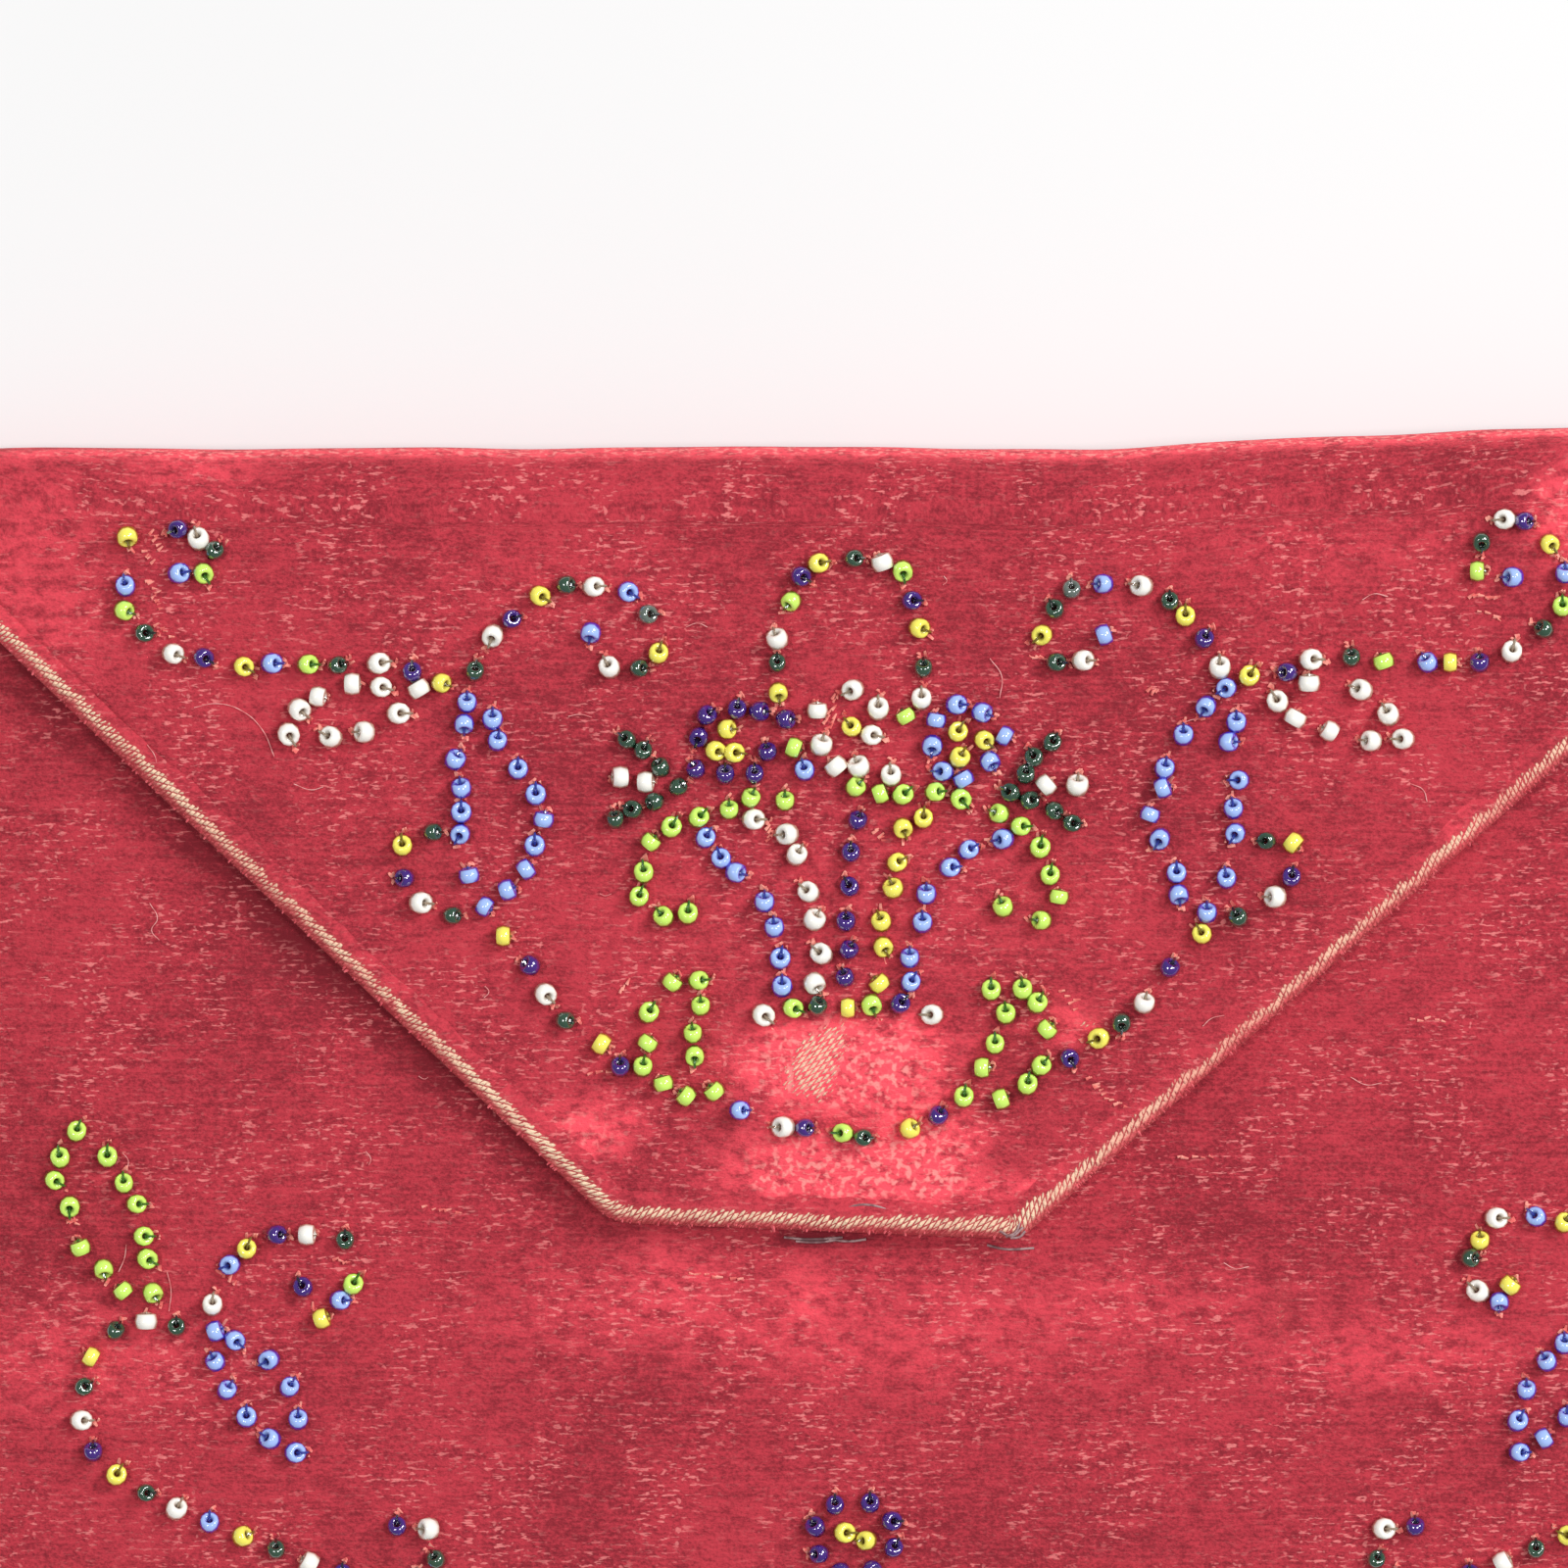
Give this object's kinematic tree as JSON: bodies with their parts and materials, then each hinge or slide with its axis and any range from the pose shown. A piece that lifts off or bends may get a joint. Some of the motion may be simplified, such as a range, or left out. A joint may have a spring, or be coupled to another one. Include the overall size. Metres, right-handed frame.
{
  "type": "beaded velvet clutch",
  "caption": "Flat velvet evening clutch with a tapered flap that turns on its top fold, a press stud and sewn glass bead flowers.",
  "frame": {"origin": "middle of the footprint, on the surface that the back panel rests on", "axes": "+X across the bag, +Y towards the fold along its top edge, +Z out of the front"},
  "size_m": [0.197, 0.137, 0.0189],
  "materials": {
    "velvet": "crimson cut velvet with a short worn pile",
    "interlining": "stiff woven canvas",
    "lining": "red satin",
    "thread": "sewing thread",
    "snap_metal": "plated steel",
    "ivory_glass": "glossy opaque ivory seed beads",
    "yellow_glass": "glossy opaque yellow seed beads",
    "lime_glass": "glossy opaque lime seed beads",
    "sky_glass": "glossy opaque sky blue seed beads",
    "cobalt_glass": "glossy opaque cobalt seed beads",
    "green_glass": "glossy opaque dark green seed beads"
  },
  "bodies": {
    "pouch": {"back_velvet": "velvet", "back_interlining": "interlining", "back_lining": "lining", "front_velvet": "velvet", "front_interlining": "interlining", "front_lining": "lining", "fold_velvet": "velvet", "fold_lining": "lining", "seam_thread": "thread", "mouth_thread": "thread", "snap_stud": "snap_metal", "stud_stitches": "thread", "front_leaf_left": "lime_glass", "front_leaf_right": "lime_glass", "front_scroll_left": "yellow_glass", "front_scroll_right": "yellow_glass", "front_blue_leaf_left": "sky_glass", "front_blue_leaf_right": "sky_glass", "front_swag_left": "green_glass", "front_swag_right": "green_glass", "front_flower": "cobalt_glass"},
    "flap": {"flap_velvet": "velvet", "flap_interlining": "interlining", "flap_lining": "lining", "flap_hem_thread": "thread", "snap_socket": "snap_metal", "snap_spring": "snap_metal", "socket_stitches": "thread", "upper_garland_left": "ivory_glass", "upper_garland_right": "ivory_glass", "lower_garland": "yellow_glass", "white_leaf_left": "ivory_glass", "white_leaf_right": "ivory_glass", "blue_leaf_left": "sky_glass", "blue_leaf_right": "sky_glass", "lime_leaf_left": "lime_glass", "lime_leaf_right": "lime_glass", "basket_handle": "yellow_glass", "basket_rim": "ivory_glass", "basket_stave_1": "sky_glass", "basket_stave_2": "ivory_glass", "basket_stave_3": "cobalt_glass", "basket_stave_4": "yellow_glass", "basket_stave_5": "sky_glass", "cobalt_flower": "cobalt_glass", "white_flower": "ivory_glass", "sky_flower": "sky_glass", "lime_frond_left": "lime_glass", "lime_frond_right": "lime_glass", "green_sprig_left": "green_glass", "green_sprig_right": "green_glass"}
  },
  "joints": [
    {"name": "flap_hinge", "type": "hinge", "parent": "pouch", "child": "flap", "pos_m": [0, 0.0685, 0.00942], "axis": [-1, 0, 0], "range_deg": [0, 178], "deforming": ["fold_velvet", "fold_lining"]}
  ]
}
